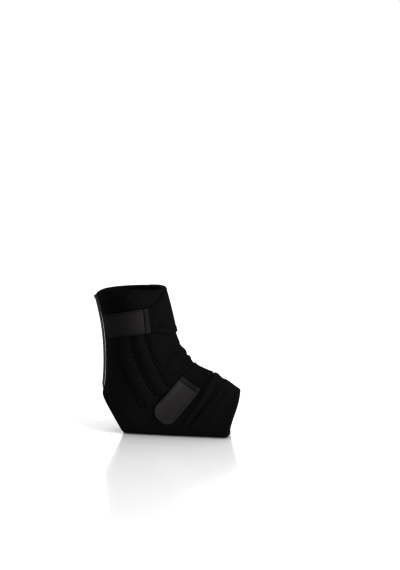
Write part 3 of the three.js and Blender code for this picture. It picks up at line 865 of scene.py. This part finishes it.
def panel_cover(station, angle):
    """Height that the panel takes up under a band, which bridges its channels and eases off beside it."""
    back, middle, front = panel_rows(np.clip(station, PANEL_TOP_STATION, PANEL_END_STATION))
    behind, before = (back - angle) / (back - middle), (angle - front) / (middle - front)
    bulge = smooth(np.maximum(np.minimum(behind, before), 0), 0, BRIDGE_SHARE)
    scale = metres_per_degree(station, angle)
    down = np.linalg.norm(slopes(form, station, angle)[0], axis=-1)
    beside = np.maximum(np.maximum(angle - back, front - angle) * scale - PANEL_HEM, 0)
    past = np.maximum(np.maximum(PANEL_TOP_STATION - station, station - PANEL_END_STATION), 0) * down
    ease = smooth(np.hypot(beside, past), RAMP_START, RAMP_START + RAMP_LENGTH)
    return (PIECE_GAP + PANEL_THICKNESS + CHANNEL_RISE * bulge) * (1 - ease)


def panel_columns():
    """Columns across the panel: a stitch row, and offsets from it or shares of the channel after it."""
    near = np.linspace(-STITCH_REACH, STITCH_REACH, STITCH_COLUMNS)
    hem = np.array([PANEL_HEM, PANEL_HEM - HEM_ROUNDING])
    return [(0, [*-hem, *near[1:]], False), (0, np.linspace(0, 1, BACK_CHANNEL_COLUMNS)[1:-1], True),
            (1, near, False), (1, np.linspace(0, 1, FRONT_CHANNEL_COLUMNS)[1:-1], True),
            (2, [*near[:-1], *hem[::-1]], False)]


def column_height(value, in_channel):
    """Thickness of the panel at one of its columns."""
    if in_channel:
        return PANEL_SKIN + CHANNEL_RISE * np.sin(math.pi * value)**0.8
    pressed = PRESSED * smooth(-abs(value), -STITCH_REACH, PRESSED_RAMP - STITCH_REACH)
    at_edge = HEM_DROP if abs(value) > PANEL_HEM - HEM_ROUNDING / 2 else 0
    return PANEL_SKIN - at_edge - pressed


def make_panel():
    stations = np.linspace(PANEL_TOP_STATION, PANEL_END_STATION, PANEL_MESH_ROWS + 1)
    rows = panel_rows(stations)
    scales = [metres_per_degree(stations, row) for row in rows]
    angles, heights = [], []
    for row, values, in_channel in panel_columns():
        for value in values:
            if in_channel:
                start = rows[row] - STITCH_REACH / scales[row]
                end = rows[row + 1] + STITCH_REACH / scales[row + 1]
                angles.append(start + (end - start) * value)
            else:
                angles.append(rows[row] - value / scales[row])
            heights.append(column_height(value, in_channel))
    from_end = np.minimum(np.arange(len(stations)), np.arange(len(stations))[::-1])
    heights = np.minimum(heights, END_HEIGHT + from_end[:, None] * END_RAMP)
    lower, normals = above(stations[:, None], np.stack(angles, 1), PIECE_GAP)
    upper = lower + normals * heights[..., None]
    threads, shaded_pits = [], np.zeros(heights.shape)
    for row, scale in zip(rows, scales):
        edges = [above(stations, row - side * (ZIGZAG_WIDTH / 2) / scale, PIECE_GAP + THREAD_LEVEL)
                 for side in (-1, 1)]
        sides = [Path(line[THREADED], ups[THREADED]) for line, ups in edges]
        lines, holes = zigzag_stitches(*sides, ZIGZAG_PITCH, ZIGZAG_THREAD)
        threads.extend(lines)
        for hole in holes:
            shaded_pits = np.maximum(shaded_pits, bell(np.linalg.norm(upper - hole, axis=2), 0, NEEDLE_HOLE))
    upper = upper - normals * (NEEDLE_DEPTH * shaded_pits)[..., None]
    panel = slab("stitched_panel", lower, upper, running_length(upper, axis=1), PANEL_KNIT)
    # The needle holes' painted shade: how much the colour is darkened in and around each hole.
    needle = panel.data.attributes.new("needle_hole_shade", "FLOAT", "POINT")
    shade = np.minimum(shaded_pits.ravel() * NEEDLE_SHADE, 1)
    needle.data.foreach_set("value", np.tile(shade, 2).astype(np.float32))
    return panel, tubes("panel_zigzag_threads", threads, ZIGZAG_THREAD, BLACK_THREAD)


panel, panel_threads = make_panel()
zigzags = len(panel_threads.data.polygons) // FACES_PER_STITCH
print(f"panel: {len(panel.data.polygons)} faces, {zigzags} zigzag threads")

# %% [markdown]
# ## Straps and tabs
# Each strap is elastic webbing, sewn to the sleeve at its inner end and to a tab of hook tape at the other,
# which grips the knit wherever it is pressed on. All four are bands laid on the boot: rows of cross
# sections with rounded edges. A stretched band doesn't follow each hollow under it, so its height is first
# taken over the folds and the stay panel, and then raised between the high places. The tabs end in round
# corners, which the same edge rule rounds.

# %% Bands
# station, angle and flare at places along each band, from the sewn end to the seam with its tab
LEG_STRAP_PATH = [
    [1.36, -74, 1.00],
    [1.34, -48, 1.00],
    [1.31, -24, 0.95],
    [1.30, 0, 0.87],
    [1.50, 19, 0.68],
    [1.58, 38, 0.40],
    [1.64, 51, 0.19],
    [1.70, 63.6, 0.00],
]
LEG_TAB_PATH = [
    [1.76, 86, 0],
    [1.88, 110, 0],
    [2.06, 143, 0],
    [2.20, 170, 0],
]
FOOT_STRAP_PATH = [
    [12.00, -88, 1.00],
    [11.90, -68, 1.00],
    [11.75, -46, 1.00],
    [11.60, -22, 1.00],
    [11.40, 2, 1.00],
    [11.55, 20, 0.70],
    [11.70, 36.8, 0.00],
]
FOOT_TAB_PATH = [
    [11.82, 51.8, 0],
    [11.89, 65, 0],
    [11.92, 77, 0],
    [11.93, 88.5, 0],
    [11.92, 102, 0],
]
STRAP_THICKNESS, TAB_THICKNESS = 1.4 * MM, 1.6 * MM
LEG_STRAP_WIDTH, LEG_TAB_WIDTH, LEG_TAB_LENGTH = 58.5 * MM, 29.5 * MM, 63 * MM
FOOT_STRAP_WIDTH, FOOT_TAB_WIDTH, FOOT_TAB_LENGTH = 26 * MM, 30 * MM, 59.5 * MM
LEG_TAB_CORNER, FOOT_TAB_CORNER = 9 * MM, 12.5 * MM
SEAM_GAP = 0.35 * MM
BAND_STEP = 1.1 * MM
BAND_EDGE, EDGE_SOFTNESS = 0.9 * MM, 0.85
EDGE_COLUMNS = np.array([0, 0.12, 0.35, 0.7]) * MM
INNER_COLUMNS_START = 1.2 * MM
BRIDGE_ROUNDS = 160
LEG_HEM_INSET, STRAP_HEM_RISE, STRAP_GROOVE = 7 * MM, 0.55 * MM, 0.5 * MM
TAB_GROOVE, BAND_GROOVE_REACH = 0.35 * MM, 0.8 * MM


def column_shares(width):
    """Places across a band from -0.5 to 0.5, closer together at its two edges."""
    columns = max(int(width / BAND_STEP), 4)
    inside = np.linspace(INNER_COLUMNS_START, width - INNER_COLUMNS_START, columns)
    return np.concatenate([EDGE_COLUMNS, inside, width - EDGE_COLUMNS[::-1]]) / width - 0.5


def rounded(height, edge_distance):
    """Height of a band near its outline: a quarter circle, then flat."""
    share = 1 - np.clip(edge_distance / BAND_EDGE, 0, 1)
    return height - np.minimum(BAND_EDGE, height) * (1 - np.sqrt(1 - share**2)) * EDGE_SOFTNESS


def bridged(base):
    """A stretched band's height over uneven ground: raised between high places, as a drum's skin is."""
    high = base
    for _ in range(BRIDGE_ROUNDS):
        edged = np.pad(high, 1, mode="edge")
        mean = (edged[:-2, 1:-1] + edged[2:, 1:-1] + edged[1:-1, :-2] + edged[1:-1, 2:]) / 4
        high = np.maximum(base, mean)
    return high


class Band:
    """A band laid on the boot: its grids, its object and the stitches on it."""

    def __init__(self, name, route, lengths, widths, height, material):
        self.lengths, self.widths = lengths, widths
        self.shares = column_shares(widths.max())
        offsets = widths[:, None] * self.shares
        station, angle = route.beside(lengths, offsets)
        ground, up = form(station, angle), slopes(form, station, angle)[2]
        base = bridged(PIECE_GAP + fold_rise(ground) + panel_cover(station, angle))
        lower = ground + up * base[..., None]
        self.upper = lower + up * height(lengths[:, None], offsets, widths[:, None])[..., None]
        self.normals = unit(np.cross(np.gradient(self.upper, axis=0), np.gradient(self.upper, axis=1)))
        self.piece = slab(name, lower, self.upper, offsets, material)

    def half(self, lengths, inset):
        """Half the band's width at lengths along it, less an inset."""
        return np.interp(lengths, self.lengths, self.widths) / 2 - inset

    def path(self, lengths, offsets):
        """A line on the band, from lengths along it and offsets across it."""
        lengths, offsets = np.broadcast_arrays(lengths, offsets)
        row = np.interp(lengths, self.lengths, np.arange(len(self.lengths)))
        share = offsets / (2 * self.half(lengths, 0))
        column = np.interp(share, self.shares, np.arange(len(self.shares)))
        return Path(on_grid(self.upper, row, column), unit(on_grid(self.normals, row, column)))


def strap_height(hem):
    """Height of a strap, with or without a hem turned over along its lower edge."""

    def height(lengths, offsets, widths):
        inward = widths / 2 - offsets
        raised = 1 - smooth(inward, hem, hem + 1 * MM) if hem else 0
        groove = bell(inward, hem + 0.3 * MM, BAND_GROOVE_REACH) if hem else 0
        thickness = STRAP_THICKNESS + STRAP_HEM_RISE * raised - STRAP_GROOVE * groove
        return rounded(thickness, widths / 2 - np.abs(offsets))

    return height


def tab_height(start, end):
    """Height of a tab: a raised seam band at its start, then flat tape with rounded corners at its end."""
    band_end = start + SEAM_BAND_LENGTH

    def height(lengths, offsets, widths):
        edge = np.minimum(widths / 2 - np.abs(offsets), end - lengths)
        raised = 1 - smooth(lengths, band_end - 0.5 * MM, band_end + 0.4 * MM)
        pressed = TAB_GROOVE * bell(lengths, band_end + 0.5 * MM, BAND_GROOVE_REACH)
        return rounded(TAB_THICKNESS + SEAM_BAND_RISE * raised - pressed, edge)

    return height


def make_strap(name, route, seam, tab_width, strap_width, hem):
    lengths = np.linspace(1 * MM, seam - SEAM_GAP / 2, int(seam / BAND_STEP))
    widths = tab_width + (strap_width - tab_width) * route.at(lengths)[2]
    return Band(name, route, lengths, widths, strap_height(hem), ELASTIC)


def make_tab(name, route, seam, width, length, round_end, material):
    start, end = seam + SEAM_GAP / 2, seam + length
    band = start + np.linspace(0, SEAM_BAND_LENGTH - 1 * MM, 6)
    step = start + SEAM_BAND_LENGTH + np.array([-0.7, -0.3, 0.1, 0.5, 1.0]) * MM
    body = np.linspace(start + SEAM_BAND_LENGTH + 1.6 * MM, end - round_end, int(length / BAND_STEP))
    corner = end - round_end * (1 - np.sin(np.linspace(0, math.pi / 2, 15)[1:]))
    lengths = np.concatenate([band, step, body, corner])
    past = np.maximum(lengths - (end - round_end), 0)
    widths = width - 2 * (round_end - np.sqrt(np.maximum(round_end**2 - past**2, 0)))
    return Band(name, route, lengths, widths, tab_height(start, end), material)


leg_route, foot_route = Route(LEG_STRAP_PATH + LEG_TAB_PATH), Route(FOOT_STRAP_PATH + FOOT_TAB_PATH)
leg_seam = leg_route.length_at(len(LEG_STRAP_PATH) - 1)
foot_seam = foot_route.length_at(len(FOOT_STRAP_PATH) - 1)
leg_strap = make_strap("leg_elastic", leg_route, leg_seam, LEG_TAB_WIDTH, LEG_STRAP_WIDTH, LEG_HEM_INSET)
foot_strap = make_strap("foot_elastic", foot_route, foot_seam, FOOT_TAB_WIDTH, FOOT_STRAP_WIDTH, 0)
leg_tab = make_tab("leg_hook_tab", leg_route, leg_seam, LEG_TAB_WIDTH, LEG_TAB_LENGTH, LEG_TAB_CORNER,
                   LEG_TAB_WEAVE)
foot_tab = make_tab("foot_hook_tab", foot_route, foot_seam, FOOT_TAB_WIDTH, FOOT_TAB_LENGTH,
                    FOOT_TAB_CORNER, FOOT_TAB_WEAVE)
print(f"leg strap {leg_seam / MM:.0f} mm to its seam, foot strap {foot_seam / MM:.0f} mm")

# %% [markdown]
# ## Stitches on the bands
# The seam that joins elastic to tab has a line of stitches on its band and another on the elastic beside
# it. The elastic is hemmed along its lower edge, and its far end is sewn down with a box of stitches. They
# are laid out in lengths and offsets on each band, so each stays on its cloth whatever the band lies on.

# %% Band stitches
STITCH_INSET, STRAP_EDGE_INSET, BOX_INSET = 1.8 * MM, 2.2 * MM, 2.5 * MM
BOX_START, BOX_LENGTH = 3 * MM, 16 * MM
HEM_STITCH_START, HEM_STITCH_END = BOX_LENGTH + 4 * MM, leg_seam - 3 * MM


def across_band(band, length, inset=STITCH_INSET):
    return band.path(length, np.linspace(-1, 1, 40) * band.half(length, inset))


def along_band(band, start, end, side, inset=STITCH_INSET):
    lengths = np.linspace(start, end, 160)
    return band.path(lengths, side * band.half(lengths, inset))


def sewn_box(band, length):
    """A box of stitches with a cross in it."""
    end, places = BOX_START + length, np.linspace(0, 1, 60)
    half = band.half(BOX_START, BOX_INSET)
    return [across_band(band, BOX_START, BOX_INSET), across_band(band, end, BOX_INSET),
            *(along_band(band, BOX_START, end, side, BOX_INSET) for side in (-1, 1)),
            *(band.path(BOX_START + places * length, side * half * (2 * places - 1)) for side in (-1, 1))]


def sew(name, paths):
    lines = [line for path in paths for line in lock_stitches(path)]
    return tubes(name, lines, STITCH_THREAD, BLACK_THREAD)


def tab_paths(tab, seam, length, round_end):
    start, end = seam + SEAM_GAP / 2, seam + length - round_end
    paths = [across_band(tab, start + 1.6 * MM), across_band(tab, start + SEAM_BAND_LENGTH - 1.6 * MM)]
    return paths + [along_band(tab, start + SEAM_BAND_LENGTH + 1.5 * MM, end, side) for side in (-1, 1)]


leg_strap_threads = sew("leg_strap_threads", [
    along_band(leg_strap, HEM_STITCH_START, HEM_STITCH_END, 1, LEG_HEM_INSET),
    along_band(leg_strap, HEM_STITCH_START, HEM_STITCH_END, -1, STRAP_EDGE_INSET),
    across_band(leg_strap, leg_seam - 3.4 * MM),
    *sewn_box(leg_strap, BOX_LENGTH),
])
foot_strap_threads = sew("foot_strap_threads", [
    across_band(foot_strap, foot_seam - 2.6 * MM),
    *sewn_box(foot_strap, BOX_LENGTH * 0.7),
])
leg_tab_threads = sew("leg_tab_threads", tab_paths(leg_tab, leg_seam, LEG_TAB_LENGTH, LEG_TAB_CORNER))
foot_tab_threads = sew("foot_tab_threads",
                       tab_paths(foot_tab, foot_seam, FOOT_TAB_LENGTH, FOOT_TAB_CORNER))
print("stitches on the straps and tabs")

# %% [markdown]
# ## The back seam
# The two halves of the sleeve meet in a seam along the calf, and a grey binding is folded over it. It runs
# from just under the leg opening to the heel opening, and its upper end has come loose and curls back a
# little. It is one more band, but with a round, grooved section and whipping threads across it.

# %% Back seam
BINDING_WIDTH, BINDING_HEIGHT = 4.6 * MM, 2.6 * MM
BINDING_TOP, BINDING_TO_HEEL, BINDING_TAPER = 4.2 * MM, 3 * MM, 9 * MM
BINDING_STEP = 0.45 * MM
BINDING_GROOVE, BINDING_GROOVE_REACH, STRAND_RISE = 0.38 * MM, 0.55 * MM, 0.1 * MM
CURL_RISE, CURL_LENGTH = 1.3 * MM, 7 * MM
BACK_SEAM_ANGLE = 174.0
WHIP_PITCH, WHIP_THREAD, WHIP_POINTS = 2.5 * MM, 0.24 * MM, 9


def whip_threads(band, end):
    """Turns of thread across the binding that dive into it at both sides."""
    across = np.linspace(-0.4, 0.4, WHIP_POINTS)
    lift = np.full((WHIP_POINTS, 1), WHIP_THREAD * 0.3)
    lift[[0, -1]] = -WHIP_THREAD
    lines = []
    for turn in np.arange(BINDING_TOP + 2 * MM, end - 2 * MM, WHIP_PITCH):
        path = band.path(turn + across * WHIP_PITCH * 0.8, across * BINDING_WIDTH)
        lines.append(path.points + path.normals * lift)
    return tubes("binding_whip_threads", lines, WHIP_THREAD, GREY_THREAD)


def make_binding():
    stations = np.arange(0, 11, 0.01)
    heel = before_heel_cut(form(stations, BACK_SEAM_ANGLE))
    back_line = Route([[station, BACK_SEAM_ANGLE, 0] for station in range(LAST_STATION)])
    end = back_line.length_at(stations[np.argmax(heel < BINDING_TO_HEEL)])
    lengths = np.linspace(BINDING_TOP, end, int((end - BINDING_TOP) / BINDING_STEP))

    def height(along, offsets, widths):
        share = np.clip(np.abs(offsets) / (widths / 2), 0, 1)
        ridge = np.sqrt(np.maximum(1 - share**2.6, 0)) * 0.9 + 0.1
        groove = BINDING_GROOVE * bell(offsets, 0, BINDING_GROOVE_REACH)
        strand = STRAND_RISE * np.sin(2 * math.pi * (along / WHIP_PITCH + offsets / BINDING_WIDTH))
        curl = CURL_RISE * (1 - smooth(along, BINDING_TOP, BINDING_TOP + CURL_LENGTH))
        top = smooth(along - BINDING_TOP, -0.6 * MM, 1.2 * MM)
        foot = smooth(end - along, -0.6 * MM, BINDING_TAPER)
        return ((BINDING_HEIGHT + curl) * ridge - groove + strand) * top * foot

    widths = np.full(len(lengths), BINDING_WIDTH)
    band = Band("grey_seam_binding", back_line, lengths, widths, height, SEAM_BINDING)
    return band, whip_threads(band, end)


seam_binding, binding_threads = make_binding()
print(f"binding: {np.ptp(seam_binding.lengths) / MM:.0f} mm long")

# %% [markdown]
# ## Hem stitches
# The leg, toe and heel openings are turned over and sewn. The hems are already in the sleeve's mesh, and
# these are the stitches in their grooves. The line round the heel is found by looking outwards from the
# heel in all directions until the cut is far enough away.

# %% Hem stitches
EDGE_SEARCH = 1.2
STITCH_LIFT = 0.05 * MM
HEEL_STATION, HEEL_STATION_REACH, HEEL_ANGLE_REACH = 9.0, 5.0, 110
HEEL_TURNS, HEEL_STEPS = 120, 400


def stitch_line(station, angle):
    """A line of stitches on the sleeve that stays inside the cloth where the boot stands on the floor."""
    points, normals = above(station, angle, STITCH_LIFT)
    points[:, 2] = np.maximum(points[:, 2], 2 * STITCH_THREAD)
    return Path(points, normals)


def edge_path(edge, inward, hem, start=0, stop=360):
    """A line round the leg or toe opening, in the groove of its hem."""
    angles = np.arange(start, stop + 1, 2.0)
    stations = edge(angles) + inward * np.linspace(0, EDGE_SEARCH, 60)[:, None]
    down = running_length(form(stations, angles))
    place = [np.interp(hem - HEM_STITCH_INSET, *columns) for columns in zip(down.T, stations.T)]
    return stitch_line(np.array(place), angles)


def heel_path():
    """A closed line round the heel opening, in the groove of its hem."""
    turn = np.linspace(0, 2 * math.pi, HEEL_TURNS + 1)[:, None]
    share = np.linspace(0.05, 1, HEEL_STEPS)[None]
    station = HEEL_STATION + HEEL_STATION_REACH * share * np.cos(turn)
    angle = 180 + HEEL_ANGLE_REACH * share * np.sin(turn)
    first = np.argmax(before_heel_cut(form(station, angle)) > HEEL_HEM - HEM_STITCH_INSET, axis=1)
    rows = np.arange(HEEL_TURNS + 1)
    return stitch_line(station[rows, first], angle[rows, first])


hem_threads = sew("hem_threads", [
    edge_path(leg_edge, 1, LEG_HEM),
    edge_path(toe_edge, -1, TOE_HEM, -150, 150),
    heel_path(),
])
print("hems sewn at the leg, the toes and the heel")

# %% [markdown]
# ## What each piece is
# Each piece stands for one solid of the frame, which is hidden, and is attached with its threads to a body.
# There are no joints: cloth and straps bend anywhere, so everything rides on the one body.

# %% Bookkeeping
cloth_pieces = {
    "sleeve": (sleeve, hem_threads),
    "stay_panel": (panel, panel_threads),
    "leg_strap": (leg_strap.piece, leg_strap_threads),
    "leg_tab": (leg_tab.piece, leg_tab_threads),
    "foot_strap": (foot_strap.piece, foot_strap_threads),
    "foot_tab": (foot_tab.piece, foot_tab_threads),
    "back_seam_tape": (seam_binding.piece, binding_threads),
}
for node, (piece, threads) in cloth_pieces.items():
    for part in (piece, threads):
        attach(part, "root")
    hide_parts(node)

print(len(cloth_pieces), "cloth pieces declared, each with its threads")

# %% [markdown]
# ## Floor and light
# The brace stands on a white, slightly glossy floor that mirrors its lowest part softly. One big lamp, low
# at the front right, models the folds. The rest of the light comes from a bright white world, as in a light
# tent. Black cloth on white asks for strong contrast. Darker shades would lose the weave, so the view's
# gamma is below one: it darkens the middle tones and leaves white as it is.

# %% Floor and light
FLOOR_SIZE, FLOOR_DROP = 12.0, 0.2 * MM
FLOOR_SHADE, FLOOR_ROUGHNESS, FLOOR_WEAR = (0.92, 0.92, 0.92), 0.12, 0.04
COAT_WEIGHT, COAT_ROUGHNESS = 0.4, 0.12
LAMP_PLACE, LAMP_SIZE, LAMP_POWER = Vector((1.9, -1.3, 0.75)), 1.5, 100
WORLD_STRENGTH = 1.1
VIEW_GAMMA = 0.65


def make_floor():
    half = FLOOR_SIZE / 2
    corners = [(-half, -half, 0), (half, -half, 0), (half, half, 0), (-half, half, 0)]
    paint = Cloth("studio_floor", FLOOR_SHADE, 0.14, 0.5)
    paint.wear(Coat_Weight=COAT_WEIGHT, Coat_Roughness=COAT_ROUGHNESS,
               Roughness=FLOOR_ROUGHNESS + paint.lint(3.0, 0.3, 0.7) * FLOOR_WEAR)
    floor = make_object("studio_floor", corners, [(0, 1, 2, 3)], materials=[paint.material])
    floor.location.z = -FLOOR_DROP


def make_lamp():
    data = bpy.data.lights.new("front_lamp", "AREA")
    data.size = LAMP_SIZE
    data.energy = LAMP_POWER
    add_to_scene("front_lamp", data, LAMP_PLACE, LOOK_POINT - LAMP_PLACE)


def make_world():
    world = bpy.data.worlds.new("light_tent")
    bpy.context.scene.world = world
    world.use_nodes = True
    feed(world.node_tree.nodes["Background"], {"Color": (1, 1, 1, 1), "Strength": WORLD_STRENGTH})


make_floor()
make_lamp()
make_world()
bpy.context.scene.view_settings.view_transform = "Standard"
bpy.context.scene.view_settings.gamma = VIEW_GAMMA
print("floor, one lamp and a white world")

# %% [markdown]
# ## At the end
# The view layer is brought up to date once more.

# %% Update
bpy.context.view_layer.update()
